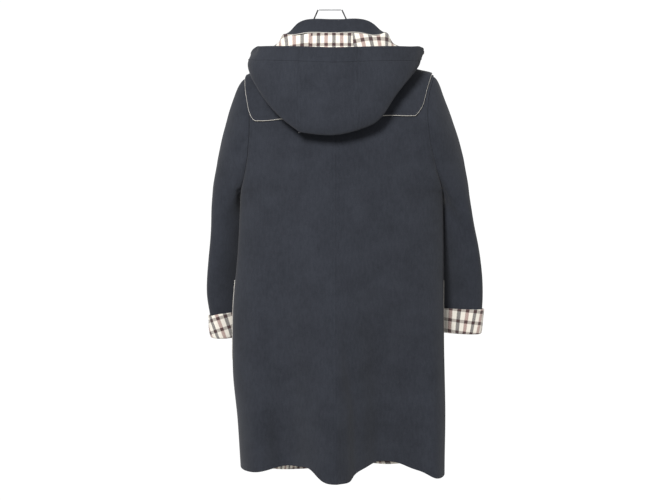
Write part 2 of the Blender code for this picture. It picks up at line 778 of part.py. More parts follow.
def yoke_half(panel_under, front):
    """Half of the shoulder cape: out to the armhole's edge, with its lower corner rounded."""
    own_turns = [abs(turn) for turn in panel_under.turns]
    inner = 180.0 - (NECK_TURN + OVERLAP_TURN) / 2 if front else 0.0

    def across(row):
        rise = (row - YOKE_ROW) / (LAST_ROW - YOKE_ROW)
        inset = lerp(YOKE_INSETS[panel_under.side], YOKE_TOP_INSET, rise**0.7)
        inset += corner_inset(rise**1.3 * (SHOULDER_POINT - YOKE_EDGE), YOKE_CORNER)
        outer = math.degrees(math.asin(1 - inset / SHOULDER_HALF_WIDTH))
        outer = 180.0 - outer if front else outer
        kept = [turn for turn in own_turns if (turn >= YOKE_KEPT_FRONT if front else turn <= YOKE_KEPT_BACK)]
        kept = sorted(kept, reverse=front)
        kept = [inner] + [turn for turn in kept if (turn < inner if front else turn > 0)]
        steps = range(1, YOKE_SIDE_STEPS + 1)
        turns = kept + [lerp(kept[-1], outer, step / YOKE_SIDE_STEPS) for step in steps]
        return [(panel_under.side * turn, row) for turn in turns]

    return patch(panel_under, across, yoke_rows())


def build_yoke(panels, wool, light):
    left = yoke_half(panels["back", 1], front=False)
    right = yoke_half(panels["back", -1], front=False)
    points, directions = ([a[::-1] + b[1:] for a, b in zip(*pair)] for pair in zip(left, right))
    layer("yoke_back", wool, points, directions, LAYER_GAP + WALL)
    edges = (("start", True), ("first", False), ("end", False))
    binding("yoke_binding_back", light, points, directions, edges)
    for name, side in SIDES.items():
        points, directions = yoke_half(panels["front", side], front=True)
        layer("yoke_front_" + name, wool, points, directions, LAYER_GAP + WALL)
        edges = (("start", True), ("first", False), ("end", False))
        binding("yoke_binding_" + name, light, points, directions, edges, start=2)


def build_pockets(panels, wool, light):
    for name, side in SIDES.items():
        under = panels["front", side]
        turns = [turn for turn in under.turns if POCKET_TURNS[0] < abs(turn) < POCKET_TURNS[1]]
        rows = [ROW_ENDS[0] + share * ROW_STEPS[1] for share in POCKET_ROWS]
        middle = (abs(turns[0]) + abs(turns[-1])) / 2

        def across(row):
            rise = (row - ROW_ENDS[0]) / ROW_STEPS[1] * (POCKET_TOP - POCKET_BOTTOM)
            inset = corner_inset(rise, POCKET_CORNER) / POCKET_HALF_WIDTH
            return [(turn + (side * middle - turn) * inset, row) for turn in turns]

        points, directions = patch(under, across, rows)
        layer("pocket_" + name, wool, points, directions, POCKET_GAP + WALL)
        edges = (("start", True), ("first", False), ("end", False), ("last", True))
        binding("pocket_binding_" + name, light, points, directions, edges, gap=1.5 * POCKET_GAP, closed=True)


# The hood and the neck


def through(points, per_span):
    """A smooth run through a few points, with a number of steps to each span."""
    run = []
    for spot, count in enumerate(per_span):
        start, end = points[spot], points[spot + 1]
        before = points[spot - 1] if spot else start * 2 - end
        after = points[spot + 2] if spot + 2 < len(points) else end * 2 - start
        span = (end - start).length
        leave = (end - before) * (span / ((end - start).length + (start - before).length))
        arrive = (after - start) * (span / ((end - start).length + (after - end).length))
        for step in range(count):
            share = step / count
            square, cube = share**2, share**3
            run.append(
                start * (2 * cube - 3 * square + 1)
                + leave * (cube - 2 * square + share)
                + end * (3 * square - 2 * cube)
                + arrive * (cube - square)
            )
    return run + [points[-1]]


def hood_station(around):
    """One section of the hanging hood: down inside, round the lowest fold and up to the face edge."""
    rounds = column(HOOD_ROWS, HOOD_COLUMNS, "around")

    def read(kind):
        return Vector([cubic(rounds, column(HOOD_ROWS, HOOD_COLUMNS, kind + axis), around) for axis in "xyz"])

    seam, fold, edge = read("seam_"), read("fold_"), read("edge_")
    run = (fold - seam).normalized()
    apart = edge - seam
    apart = (apart - run * apart.dot(run)).normalized()
    deep = min(1.0, (fold - seam).length / HOOD_DEPTH)
    inner_high = seam.lerp(fold, 0.30) + apart * HOOD_INNER_HIGH
    inner_low = seam.lerp(fold, 0.74) - apart * HOOD_INNER_LOW * deep
    outer_low = fold.lerp(edge, 0.14) + apart * HOOD_OUTER_LOW * lerp(0.5, 1.0, deep)
    outer_high = fold.lerp(edge, 0.58) + apart * HOOD_OUTER_HIGH * lerp(0.4, 1.0, deep)
    return through([seam, inner_high, inner_low, fold, outer_low, outer_high, edge], HOOD_SPANS)


def build_hood(wool):
    bounds = (
        ("hood_right", HOOD_ROWS[0][0], HOOD_SEAM_RIGHT, HOOD_SIDE_STEPS),
        ("hood_centre", HOOD_SEAM_RIGHT, HOOD_SEAM_LEFT, HOOD_CENTRE_STEPS),
        ("hood_left", HOOD_SEAM_LEFT, HOOD_ROWS[-1][0], HOOD_SIDE_STEPS),
    )
    rounds, cuts = [], [0]
    for _, start, end, count in bounds:
        rounds += steps(start, end, count)
        cuts.append(len(rounds))
    rounds.append(HOOD_ROWS[-1][0])
    points = [list(row) for row in zip(*[hood_station(around) for around in rounds])]
    normals = grid_normals(points, facing=1)
    for place, (name, *_) in enumerate(bounds):
        first, last = cuts[place], cuts[place + 1]
        part_points = [[point.copy() for point in row[first : last + 1]] for row in points]
        for row in part_points:
            if first:
                row[0] += (row[1] - row[0]).normalized() * SEAM_GAP / 2
            if last < len(rounds) - 1:
                row[-1] += (row[-2] - row[-1]).normalized() * SEAM_GAP / 2
        layer(name, wool, part_points, [row[first : last + 1] for row in normals], WALL / 2)


def build_neck(panels, wool, light):
    """The facing that rolls over the back neck, and the tape along the hood's seam."""
    turns = [share * NECK_TURN for share in NECK_SHARES]
    spots = [(1, turn) for turn in turns[::-1]] + [(-1, turn) for turn in turns[1:]]
    for name, finish, profile, thickness in (
        ("neck_facing", wool, FACING_PROFILE, FACING_WALL),
        ("neck_tape", light, TAPE_PROFILE, TAPE_WALL),
    ):
        points = []
        for below, out, up in profile:
            line = [panels["back", side].at(side * turn, LAST_ROW - below, out) for side, turn in spots]
            points.append([point + Vector((0, 0, up)) for point in line])
        layer(name, finish, points, grid_normals(points, facing=-1), thickness / 2, thickness)


# The closures


def front_spot(panels, side, x, height, lift):
    """A point lift outside of a front, at an x and a height."""
    under = panels["front", side]
    row = under.row_of(side * CLOSURE_TURN, height)
    found = under.at(under.turn_of(x, row), row, lift)
    return Vector((x, found.y, height))


def rod(name, finish, stations, sides):
    """A closed rod through sections: each has a centre, a direction and its two half-sizes."""
    work = bmesh.new()
    before = set()
    for centre, along, half_wide, half_deep in stations:
        ring = bmesh.ops.create_circle(work, segments=sides, radius=1.0)["verts"]
        bmesh.ops.scale(work, vec=(half_wide, half_deep, 1.0), verts=ring)
        turned = along.to_track_quat("Z", "Y").to_matrix().to_4x4()
        bmesh.ops.transform(work, matrix=Matrix.Translation(centre) @ turned, verts=ring)
        edges = {edge for vertex in ring for edge in vertex.link_edges}
        if before:
            bmesh.ops.bridge_loops(work, edges=list(edges | before))
        before = edges
    bmesh.ops.holes_fill(work, edges=work.edges, sides=sides)
    bmesh.ops.triangulate(work, faces=work.faces)
    bmesh.ops.recalc_face_normals(work, faces=work.faces)
    mesh = bpy.data.meshes.new(name)
    work.to_mesh(mesh)
    work.free()
    mesh.shade_smooth()
    return keep(name, mesh, finish)


def patch_on_front(name, finish, panels, side, ends, height):
    """A sewn patch on a front, which the closure's cord comes out of."""
    points, directions = [], []
    for rise in (-PATCH_HALF_HEIGHT, 0.0, PATCH_HALF_HEIGHT):
        across = [lerp(*ends, share) for share in (0.0, 0.25, 0.5, 0.75, 1.0)]
        line = [front_spot(panels, side, x, height + rise, 0.0) for x in across]
        lifted = [front_spot(panels, side, x, height + rise, 1.0) for x in across]
        points.append(line)
        directions.append([Vector((0, up.y - point.y, 0)).normalized() for up, point in zip(lifted, line)])
    layer(name, finish, points, directions, PATCH_GAP + PATCH_WALL, PATCH_WALL)


def build_closures(panels, wool, horn, rope):
    for number, height in enumerate(CLOSURE_HEIGHTS, start=1):
        patch_on_front("patch_right_%d" % number, wool, panels, -1, RIGHT_PATCH, height)
        patch_on_front("patch_left_%d" % number, wool, panels, 1, LEFT_PATCH, height)
        low, high = height - LOOP_HALF_HEIGHT, height + LOOP_HALF_HEIGHT
        start = RIGHT_PATCH[1] + CORD_RADIUS / 2
        outermost = panels["front", -1]
        edge = outermost.at(outermost.turns[-1], outermost.row_of(-CLOSURE_TURN, height)).x
        over = [(start, -1), (-0.020, -1), (edge - 0.012, -1)]
        over += [(edge + EDGE_MARGIN, -1), (TOGGLE_X - 0.006, 1)]
        runs = [
            [front_spot(panels, side, x, level, CORD_LIFT) for x, side in over] for level in (low, high)
        ]
        bend = [
            front_spot(panels, 1, TOGGLE_X + reach, height + LOOP_HALF_HEIGHT * rise, CORD_LIFT)
            for reach, rise in ((0.003, -0.87), (0.006, 0.0), (0.003, 0.87))
        ]
        cord("loop_%d" % number, rope, runs[0] + bend + runs[1][::-1], CORD_RADIUS, sides=1)
        lifts = ((TOGGLE_X - 0.002, TIE_LIFT), (0.058, TIE_LIFT), (0.066, 0.0045), (0.0725, CORD_LIFT))
        tie = [front_spot(panels, 1, x, height, lift) for x, lift in lifts]
        cord("tie_%d" % number, rope, tie, CORD_RADIUS, sides=1)
        middle = front_spot(panels, 1, TOGGLE_X, height, TOGGLE_LIFT)
        up = Vector((0, 0, 1))
        stations = [(middle + up * along, up, radius, radius) for along, radius in TOGGLE_PROFILE]
        rod("toggle_%d" % number, horn, stations, TOGGLE_SIDES)


# The hanger


def hanger_top(panels, x):
    """The height of the hanger's arms along their tops, from the line of the shoulder seams."""
    under = panels["back", 1 if x > HANGER_MIDDLE else -1]
    neck = under.at(under.side * NECK_TURN, LAST_ROW)
    tip = under.at(under.side * 90.0, LAST_ROW)
    along = (x - neck.x) / (tip.x - neck.x)
    if along >= 0:
        return lerp(neck.z, tip.z, along) - HANGER_BELOW_SEAM
    inward = (neck.x - x) / (neck.x - HANGER_MIDDLE)
    return neck.z - HANGER_BELOW_SEAM + HANGER_RISE * (1 - (1 - inward) ** 2)


def build_hanger(panels, dark, steel):
    stations = []
    for step in range(2 * HANGER_STATIONS + 1):
        share = step / HANGER_STATIONS - 1.0
        x = HANGER_MIDDLE + HANGER_REACH * share
        before, after = hanger_top(panels, x - HANGER_STRIDE), hanger_top(panels, x + HANGER_STRIDE)
        along = Vector((2 * HANGER_STRIDE, 0.0, after - before)).normalized()
        taper = math.sqrt(1 - max(0.0, (abs(share) - HANGER_TAPER) / (1.02 - HANGER_TAPER)) ** 2)
        centre = Vector((x, 0.0, (before + after) / 2 - HANGER_HALF_HEIGHT / along.x))
        stations.append((centre, along, HANGER_HALF_DEPTH * taper, HANGER_HALF_HEIGHT * taper))
    rod("hanger_arms", dark, stations, HANGER_SIDES)
    for name, side in SIDES.items():
        top = LEG_TOPS[name]
        foot = top - side * LEG_SLOPE * (NECK_POINT + HANGER_RISE)
        ends = [Vector((top, 0, 0)), Vector((foot, 0, hanger_top(panels, foot) + LEG_RADIUS))]
        cord("hanger_leg_" + name, dark, ends, LEG_RADIUS, sides=2)
    reach = LEG_RADIUS + SEAM_GAP * 2
    ends = [Vector((LEG_TOPS["right"] + reach, 0, 0)), Vector((LEG_TOPS["left"] - reach, 0, 0))]
    cord("hanger_bar", steel, ends, BAR_RADIUS, sides=2)


# The coat


def main():
    for old in list(bpy.data.objects):
        bpy.data.objects.remove(old, do_unlink=True)
    coat = bpy.data.collections.new(COLLECTION)
    bpy.context.scene.collection.children.link(coat)
    wool = material("navy_wool", (0.040, 0.052, 0.078), 0.9)
    check = material("checked_wool", (0.75, 0.70, 0.64), 0.9)
    panels = build_body(wool)
    for name, side in SIDES.items():
        build_sleeve(name, side, wool)
        build_cuff(name, side, check)
    light = material("light_binding", (0.55, 0.53, 0.50), 0.8)
    build_yoke(panels, wool, light)
    build_pockets(panels, wool, light)
    build_hood(wool)
    build_neck(panels, wool, light)
    horn = material("horn", (0.16, 0.075, 0.035), 0.4)
    rope = material("navy_cord", (0.025, 0.030, 0.045), 0.85)
    build_closures(panels, wool, horn, rope)
    dark = material("black_hanger", (0.012, 0.012, 0.013), 0.45)
    steel = material("bright_steel", (0.60, 0.61, 0.62), 0.3, 1.0)
    build_hanger(panels, dark, steel)


main()
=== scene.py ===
import math

import bmesh
import bpy
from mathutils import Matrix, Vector, noise
from mathutils.bvhtree import BVHTree
from mathutils.kdtree import KDTree


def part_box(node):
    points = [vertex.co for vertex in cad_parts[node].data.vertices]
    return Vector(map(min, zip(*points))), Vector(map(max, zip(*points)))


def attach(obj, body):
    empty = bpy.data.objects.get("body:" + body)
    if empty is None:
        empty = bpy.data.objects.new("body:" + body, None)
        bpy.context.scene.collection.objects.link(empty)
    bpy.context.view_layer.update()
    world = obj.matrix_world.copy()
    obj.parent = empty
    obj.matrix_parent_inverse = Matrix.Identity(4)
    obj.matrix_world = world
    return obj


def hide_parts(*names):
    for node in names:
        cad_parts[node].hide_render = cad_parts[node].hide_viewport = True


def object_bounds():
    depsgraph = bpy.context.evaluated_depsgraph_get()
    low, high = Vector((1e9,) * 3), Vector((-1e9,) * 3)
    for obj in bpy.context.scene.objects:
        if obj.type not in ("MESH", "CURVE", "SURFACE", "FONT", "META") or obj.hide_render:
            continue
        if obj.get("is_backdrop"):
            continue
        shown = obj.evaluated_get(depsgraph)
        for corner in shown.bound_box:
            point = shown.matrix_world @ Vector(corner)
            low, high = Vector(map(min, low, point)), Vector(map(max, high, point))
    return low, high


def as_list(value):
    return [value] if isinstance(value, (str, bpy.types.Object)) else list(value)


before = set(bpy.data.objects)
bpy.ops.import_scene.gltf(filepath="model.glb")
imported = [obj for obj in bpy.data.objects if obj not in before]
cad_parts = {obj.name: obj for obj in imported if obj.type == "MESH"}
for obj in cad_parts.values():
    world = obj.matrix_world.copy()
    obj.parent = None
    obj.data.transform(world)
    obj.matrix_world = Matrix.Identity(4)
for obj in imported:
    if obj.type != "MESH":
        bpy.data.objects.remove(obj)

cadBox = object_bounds()
scene = bpy.context.scene
scene.view_settings.view_transform = "Standard"

view = dict(distance=1.6, aim=(-0.0088, 0.0, -0.528), metresPerPixel=0.0022, width=670, sensor=36.0)

camera = bpy.data.objects.new("camera", bpy.data.cameras.new("camera"))
scene.collection.objects.link(camera)
camera.data.sensor_width = view["sensor"]
camera.data.lens = view["sensor"] * view["distance"] / (view["width"] * view["metresPerPixel"])
camera.location = Vector(view["aim"]) + Vector((0, view["distance"], 0))
camera.rotation_euler = Vector((0, -1, 0)).to_track_quat("-Z", "Y").to_euler()
scene.camera = camera

studio = dict(
    skyBehind=1.05,
    skyBefore=0.48,
    skyChange=(-0.55, 0.35),  # the sky goes from one to the other between these
    floorHeight=-1.30,
    floorRadius=0.56,
    floorSides=96,
    lampAim=(0, 0, -0.5),
    lamps={  # name: place, size, watts
        "key": ((0.72, 2.4, 0.48), 0.7, 94.0),
        "side": ((-2.2, 1.6, 0.2), 1.8, 6.0),
        "front": ((-0.6, -2.4, 1.0), 1.0, 30.0),
    },
)

scene.world = bpy.data.worlds.new("studio")
scene.world.use_nodes = True
air = scene.world.node_tree
direction = air.nodes.new("ShaderNodeTexCoord")
split = air.nodes.new("ShaderNodeSeparateXYZ")
ramp = air.nodes.new("ShaderNodeMapRange")
air.links.new(direction.outputs["Generated"], split.inputs[0])
air.links.new(split.outputs["Y"], ramp.inputs["Value"])
skyRange = {
    "From Min": studio["skyChange"][0],
    "From Max": studio["skyChange"][1],
    "To Min": studio["skyBehind"],
    "To Max": studio["skyBefore"],
}
for socket, value in skyRange.items():
    ramp.inputs[socket].default_value = value
sky = air.nodes["Background"]
sky.inputs["Color"].default_value = (1, 1, 1, 1)
air.links.new(ramp.outputs[0], sky.inputs["Strength"])
for lampName, (place, size, watts) in studio["lamps"].items():
    lamp = bpy.data.objects.new(lampName, bpy.data.lights.new(lampName, "AREA"))
    lamp.data.size = size
    lamp.data.energy = watts
    lamp.location = place
    lamp.rotation_euler = (Vector(studio["lampAim"]) - Vector(place)).to_track_quat("-Z", "Y").to_euler()
    scene.collection.objects.link(lamp)
print("studio made")


# one socket of a material's tree, worked on as a value
class Signal:
    def __init__(self, tree, socket):
        self.tree = tree
        self.socket = socket

    def node(self, kind, settings=None, values=None, out=0):  # any node; values by socket name or number
        made = self.tree.nodes.new(kind)
        for name, value in (settings or {}).items():
            setattr(made, name, value)
        for key, value in (values or {}).items():
            if isinstance(value, Signal):
                self.tree.links.new(value.socket, made.inputs[key])
            else:
                made.inputs[key].default_value = value
        return Signal(self.tree, made.outputs[out])

    def maths(self, operation, first, second=0.0):
        return self.node("ShaderNodeMath", {"operation": operation}, {0: first, 1: second})

    def __add__(self, other):
        return self.maths("ADD", self, other)

    def __sub__(self, other):
        return self.maths("SUBTRACT", self, other)

    def __rsub__(self, other):
        return self.maths("SUBTRACT", other, self)

    def __mul__(self, other):
        return self.maths("MULTIPLY", self, other)

    def __truediv__(self, other):
        return self.maths("DIVIDE", self, other)

    def wave(self, pitch):  # -1 to 1, once in each pitch
        return self.maths("SINE", self * (2 * math.pi / pitch))

    def phase(self, pitch):  # 0 to 1 along each pitch
        return self.maths("FRACT", self / pitch)

    def ramp(self, low, high):  # 0 at low, 1 at high, smooth between
        kind = {"interpolation_type": "SMOOTHSTEP"}
        return self.node("ShaderNodeMapRange", kind, {0: self, 1: low, 2: high})

    def stripe(self, middle, half, soft):  # 1 within half of the middle
        away = self.maths("ABSOLUTE", self - middle)
        return 1 - away.ramp(half - soft, half + soft)

    def parts(self):
        return [self.node("ShaderNodeSeparateXYZ", None, {0: self}, axis) for axis in "XYZ"]

    def grain(self, scale, detail=2.0, rough=0.55):
        values = {"Vector": self, "Scale": scale, "Detail": detail, "Roughness": rough}
        return self.node("ShaderNodeTexNoise", None, values)

    def stretched(self, scale):
        return self.node("ShaderNodeMapping", None, {"Vector": self, "Scale": scale})

    def tint(self, low, high):  # a colour between two, by this value
        values = {0: self}
        for key, colour in ((6, low), (7, high)):
            values[key] = colour if isinstance(colour, Signal) else (*colour, 1)
        return self.node("ShaderNodeMix", {"data_type": "RGBA"}, values, 2)

    def shade(self, colour):  # a colour made darker or lighter by this value
        grey = self.node("ShaderNodeCombineXYZ", None, {0: self, 1: self, 2: self})
        kind = {"data_type": "RGBA", "blend_type": "MULTIPLY"}
        return self.node("ShaderNodeMix", kind, {0: 1.0, 6: colour, 7: grey}, 2)


def newFinish(name, **uniform):  # a material with its shader, its place on the object and its cloth's map
    made = bpy.data.materials.new(name)
    made.use_nodes = True
    tree = made.node_tree
    shader = tree.nodes["Principled BSDF"]
    for socket, value in uniform.items():
        shader.inputs[socket.replace("_", " ")].default_value = value
    places = tree.nodes.new("ShaderNodeTexCoord")
    return made, shader, Signal(tree, places.outputs["Object"]), Signal(tree, places.outputs["UV"])


def feed(shader, socket, signal):
    signal.tree.links.new(signal.socket, shader.inputs[socket])


def feedBump(shader, height, depth):  # height runs from 0 to 1, depth in metres
    feed(shader, "Normal", height.node("ShaderNodeBump", None, {"Height": height, "Distance": depth}))


wool = dict(  # lengths in metres, grains by their noise scale
    dark=(0.0135, 0.0152, 0.0200),
    light=(0.0270, 0.0300, 0.0385),
    fuzz=0.06,
    clouds=16,
    fibres=620,
    brushed=210,
    brushing=(1.0, 1.0, 0.35),
    flecks=1900,
    nap=0.00022,
    seamHalf=0.0016,
    stitchIn=0.0065,
    stitchHalf=0.0007,
    stitchSoft=0.0005,
    hemIn=0.031,
    hemHalf=0.0010,
    hemSoft=0.0006,
    # how dark the painted shade in the seam and stitch grooves is
    sunkShade=0.22,
    sunkDepth=2.5,  # in naps
)


def woolCloth():
    made, shader, place, cloth = newFinish(
        "navyWool", Roughness=0.95, Sheen_Weight=wool["fuzz"], Sheen_Roughness=0.6, Specular_IOR_Level=0.10
    )
    fibres = place.grain(wool["fibres"], 3, 0.65)
    flecks = place.grain(wool["flecks"], 1, 0.5)
    clouds = place.grain(wool["clouds"], 3, 0.55)
    brushed = place.stretched(wool["brushing"]).grain(wool["brushed"], 2, 0.6)
    value = clouds.ramp(0.3, 0.7) * 0.30 + fibres.ramp(0.3, 0.7) * 0.34 + brushed.ramp(0.3, 0.7) * 0.24
    fromEdge, fromRim, _ = cloth.node("ShaderNodeUVMap", {"uv_map": "stitching"}).parts()
    # the seam, its stitch line and the hem's stitch line get painted shade in their grooves, and are sunk in the
    # relief
    sunk = fromEdge.stripe(0.0, wool["seamHalf"], wool["seamHalf"] * 0.5) * 0.4
    sunk = sunk + fromEdge.stripe(wool["stitchIn"], wool["stitchHalf"], wool["stitchSoft"]) * 0.35
    sunk = sunk + fromRim.stripe(wool["hemIn"], wool["hemHalf"], wool["hemSoft"])
    value = value + flecks.ramp(0.55, 0.75) * 0.3 - sunk * wool["sunkShade"]
    feed(shader, "Base Color", value.tint(wool["dark"], wool["light"]))
    feedBump(shader, fibres * 0.6 + brushed * 0.25 + flecks * 0.3 - sunk * wool["sunkDepth"], wool["nap"])
    return made


check = dict(  # the cloth's inner face, lengths in metres
    ground=(0.69, 0.65, 0.575),
    red=(0.17, 0.050, 0.046),
    charcoal=(0.045, 0.042, 0.048),
    across=(0.045, 0.022, 0.022),
    columnPitch=0.0167,
    columnHalf=0.0038,
    rowPitch=0.0255,
    rowHalf=0.0036,
    soft=0.00045,
    drift=0.0011,
    thread=0.00085,
    relief=0.00018,
)


def checkedCloth():
    made, shader, place, cloth = newFinish(
        "checkedWool", Roughness=0.92, Sheen_Weight=0.15, Sheen_Roughness=0.6, Specular_IOR_Level=0.2
    )
    drift = (place.grain(60, 2) - 0.5) * check["drift"]
    across, along, _ = cloth.parts()
    across = across + drift
    along = along + drift
    pitch, half, soft = check["columnPitch"], check["columnHalf"], check["soft"]
    column = across.phase(2 * pitch) * (2 * pitch)  # a red one and a charcoal one in turn
    redColumn = column.stripe(pitch * 0.5, half, soft)
    charcoalColumn = column.stripe(pitch * 1.5, half, soft)
    row = (along.phase(check["rowPitch"]) * check["rowPitch"]).stripe(check["rowPitch"] / 2, check["rowHalf"], soft)
    twill = (across + along).wave(check["thread"])
    onTop = twill.ramp(-0.25, 0.25)  # where the lengthways threads lie on top
    fuzz = place.grain(900, 3, 0.6)
    colour = (redColumn * (onTop * 0.30 + 0.48)).tint(check["ground"], check["red"])
    colour = (charcoalColumn * (onTop * 0.30 + 0.62)).tint(colour, check["charcoal"])
    rowCover = (1 - onTop) * 0.16 + 0.46 + (redColumn + charcoalColumn) * 0.38
    colour = (row * rowCover).tint(colour, check["across"])
    feed(shader, "Base Color", (fuzz * 0.34 + 0.83).shade(colour))
    feedBump(shader, twill * 0.3 + fuzz * 0.7, check["relief"])
    return made


tape = dict(dark=(0.30, 0.285, 0.26), light=(0.56, 0.53, 0.49), rib=0.0011, relief=0.0002)


def bindingTape():
    made, shader, place, _ = newFinish("lightBinding", Roughness=0.8, Sheen_Weight=0.1)
    across, depth, along = place.parts()
    rib = (across + depth + along * 0.7).wave(tape["rib"])
    fuzz = place.grain(700, 2)
    feed(shader, "Base Color", (rib * 0.2 + fuzz * 0.8).tint(tape["dark"], tape["light"]))
    feedBump(shader, rib * 0.5 + fuzz * 0.5, tape["relief"])
    return made


cord = dict(dark=(0.012, 0.014, 0.022), light=(0.045, 0.050, 0.068), plait=0.0022, relief=0.0003)


def braidedCord():
    made, shader, place, _ = newFinish("navyCord", Roughness=0.75, Sheen_Weight=0.1)
    across, _, along = place.parts()
    braid = (along + across).wave(cord["plait"]) * (along - across).wave(cord["plait"])
    feed(shader, "Base Color", (braid * 0.5 + 0.5).tint(cord["dark"], cord["light"]))
    feedBump(shader, braid, cord["relief"])
    return made


toggle = dict(
    dark=(0.055, 0.022, 0.011),
    warm=(0.34, 0.19, 0.085),
    pale=(0.46, 0.31, 0.17),
    grainAlong=(6.0, 6.0, 1.0),
    relief=0.00012,
)


def hornToggle():
    made, shader, place, _ = newFinish("horn", Roughness=0.32, Coat_Weight=0.25, Coat_Roughness=0.2)
    streaks = place.stretched(toggle["grainAlong"]).grain(55, 4, 0.6)
    growth = place.grain(40, 2)
    colour = streaks.ramp(0.3, 0.75).tint(toggle["dark"], toggle["warm"])
    feed(shader, "Base Color", growth.ramp(0.55, 0.8).tint(colour, toggle["pale"]))
    feed(shader, "Roughness", streaks * 0.25 + 0.2)
    feedBump(shader, streaks, toggle["relief"])
    return made


hanger = dict(
    black=(0.010, 0.010, 0.011),
    scuffed=(0.026, 0.026, 0.028),
    scuffsAlong=(1.0, 4.0, 4.0),
    plasticRelief=0.00004,
    darkSteel=(0.50, 0.51, 0.53),
    lightSteel=(0.78, 0.79, 0.80),
    drawnAlong=(0.05, 1.0, 1.0),
    steelRelief=0.00003,
)


def blackPlastic():
    made, shader, place, _ = newFinish("blackHanger", Roughness=0.4)
    scuffs = place.stretched(hanger["scuffsAlong"]).grain(120, 3)
    feed(shader, "Base Color", scuffs.ramp(0.45, 0.8).tint(hanger["black"], hanger["scuffed"]))
    feed(shader, "Roughness", scuffs * 0.3 + 0.28)
    feedBump(shader, place.grain(900, 2), hanger["plasticRelief"])
    return made


def steelBar():
    made, shader, place, _ = newFinish("brightSteel", Roughness=0.3, Metallic=1.0)
    drawn = place.stretched(hanger["drawnAlong"]).grain(2600, 2)
    feed(shader, "Base Color", drawn.tint(hanger["darkSteel"], hanger["lightSteel"]))
    feed(shader, "Roughness", drawn * 0.25 + 0.2)
    feedBump(shader, drawn, hanger["steelRelief"])
    return made


def paleFloor():
    made, shader, place, _ = newFinish("paleFloor", Roughness=0.9)
    feed(shader, "Base Color", place.grain(3, 2).tint((0.62, 0.62, 0.61), (0.68, 0.68, 0.67)))
    return made


navyWool = woolCloth()
checkedWool = checkedCloth()
lightBinding = bindingTape()
navyCord = braidedCord()
horn = hornToggle()
blackHanger = blackPlastic()
brightSteel = steelBar()
print("finishes made")


axis = Vector((-0.0088, 0.0, 0.0))  # the coat hangs about this upright line
pouch = Vector((-0.0088, 0.098, -0.170))  # the middle of the hood's fold
laid = {}  # the outer face of each finished piece, for what lies on it

sewing = dict(  # what the cloth pieces share, lengths in metres
    weld=0.00001,
    bend=math.radians(50),  # faces that meet at less than this are on one side of the wall
    rimWidth=0.0045,  # a strip of faces narrower than this is a wall's edge
    quads=dict(angle_face_threshold=1.2, angle_shape_threshold=1.6),
    unevenAcross=11,
    unevenDown=7,
    facing=(0.05, 0.45),  # a fold fades where its side turns away from +y or -y
    softDepth=0.01,
    liftSearch=0.025,
    liftMost=0.012,
    liftSpread=0.9,
    edgeAngle=math.radians(50),
    edgeShare=0.18,  # the rounding of an edge, as a share of the wall
)


def fromAxis(point):
    return Vector((point.x - axis.x, point.y, 0))


def fromPouch(point):
    return point - pouch


def fromTube(node):
    low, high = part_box(node)
    middle = (low + high) / 2
    return lambda point: Vector((point.x - middle.x, point.y - middle.y, 0))


def outerFace(node, outward):  # the outward side of a cloth wall, as one open mesh of quads
    shell = bmesh.new()
    shell.from_mesh(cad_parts[node].data)
    bmesh.ops.remove_doubles(shell, verts=shell.verts, dist=sewing["weld"])
    shell.normal_update()
    waiting = set(shell.faces)
    dropped = []
    while waiting:
        patch = [waiting.pop()]
        for face in patch:  # grows over each edge that bends gently
            for edge in face.edges:
                if edge.calc_face_angle(0) < sewing["bend"]:
                    found = waiting.intersection(edge.link_faces)
                    waiting -= found
                    patch += found
        inside = set(patch)
        area = sum(face.calc_area() for face in patch)
        facing = sum(outward(face.calc_center_median()).dot(face.normal) * face.calc_area() for face in patch)
        border = 0.0
        for edge in {edge for face in patch for edge in face.edges}:
            if not inside.issuperset(edge.link_faces):
                border += edge.calc_length()
        if facing < 0 or 2 * area < sewing["rimWidth"] * border:
            dropped += patch
    bmesh.ops.delete(shell, geom=dropped, context="FACES")
    bmesh.ops.join_triangles(shell, faces=shell.faces, **sewing["quads"])
    return shell


def newPiece(name, shell, finishes):
    mesh = bpy.data.meshes.new(name)
    shell.to_mesh(mesh)
    shell.free()
    piece = bpy.data.objects.new(name, mesh)
    scene.collection.objects.link(piece)
    for finish in finishes:
        mesh.materials.append(finish)
    mesh.shade_smooth()
    return piece


def rounded(shell, levels):  # the same face with softer curves between its points
    piece = newPiece("draft", shell, [])
    smooth = piece.modifiers.new("smooth", "SUBSURF")
    smooth.levels = smooth.render_levels = levels
    smooth.boundary_smooth = "PRESERVE_CORNERS"
    graph = bpy.context.evaluated_depsgraph_get()
    shell = bmesh.new()
    shell.from_mesh(piece.evaluated_get(graph).to_mesh())
    bpy.data.objects.remove(piece)
    shell.normal_update()
    return shell


def easing(value, low, high):  # 0 at low, 1 at high
    share = min(1.0, max(0.0, (value - low) / (high - low)))
    return share * share * (3 - 2 * share)


# a soft ridge, or a trough where the height is negative, along (x, z) points
def stroke(half, height, *line, side="back", fade=(0.3, 0.3)):
    return dict(half=half, height=height, line=line, side=side, fade=fade)


def strokeHeight(fold, x, z):
    best, at = math.inf, 0.0
    line = fold["line"]
    for number, ((ax, az), (bx, bz)) in enumerate(zip(line, line[1:])):
        dx, dz = bx - ax, bz - az
        share = min(1.0, max(0.0, ((x - ax) * dx + (z - az) * dz) / (dx * dx + dz * dz)))
        away = math.hypot(x - ax - dx * share, z - az - dz * share)
        if away < best:
            best, at = away, (number + share) / (len(line) - 1)
    if best > 3 * fold["half"]:
        return 0.0
    start, end = fold["fade"]
    ends = easing(at, 0, start) if start else 1.0
    ends *= easing(1 - at, 0, end) if end else 1.0
    return fold["height"] * ends * math.exp(-((best / fold["half"]) ** 2))


